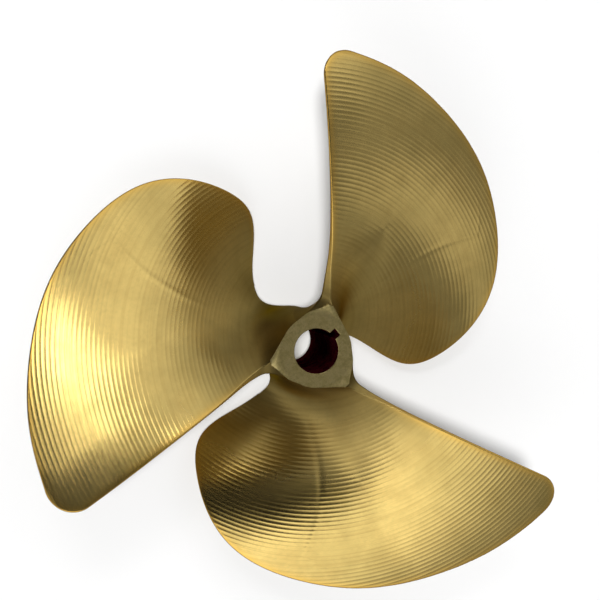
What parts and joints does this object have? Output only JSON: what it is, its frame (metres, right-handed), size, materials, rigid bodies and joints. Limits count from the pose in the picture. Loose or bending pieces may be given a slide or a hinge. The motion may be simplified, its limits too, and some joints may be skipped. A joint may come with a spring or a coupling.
{
  "type": "boat propeller",
  "caption": "Right-hand inboard boat propeller with wide swept blades, a machined bronze finish, and a keyed hub bore.",
  "frame": {"origin": "centre of the bore at the hub's aft face", "axes": "+Z along the shaft axis, pointing aft; +X through the middle of the keyway"},
  "size_m": [0.3097, 0.2958, 0.0953],
  "materials": {
    "hub_bronze": "ground bronze, dull olive-gold",
    "blade_bronze": "bronze with fine concentric machining grooves, satin to bright"
  },
  "bodies": {
    "root": {"hub": "hub_bronze", "blade_1": "blade_bronze", "blade_2": "blade_bronze", "blade_3": "blade_bronze"}
  },
  "joints": []
}
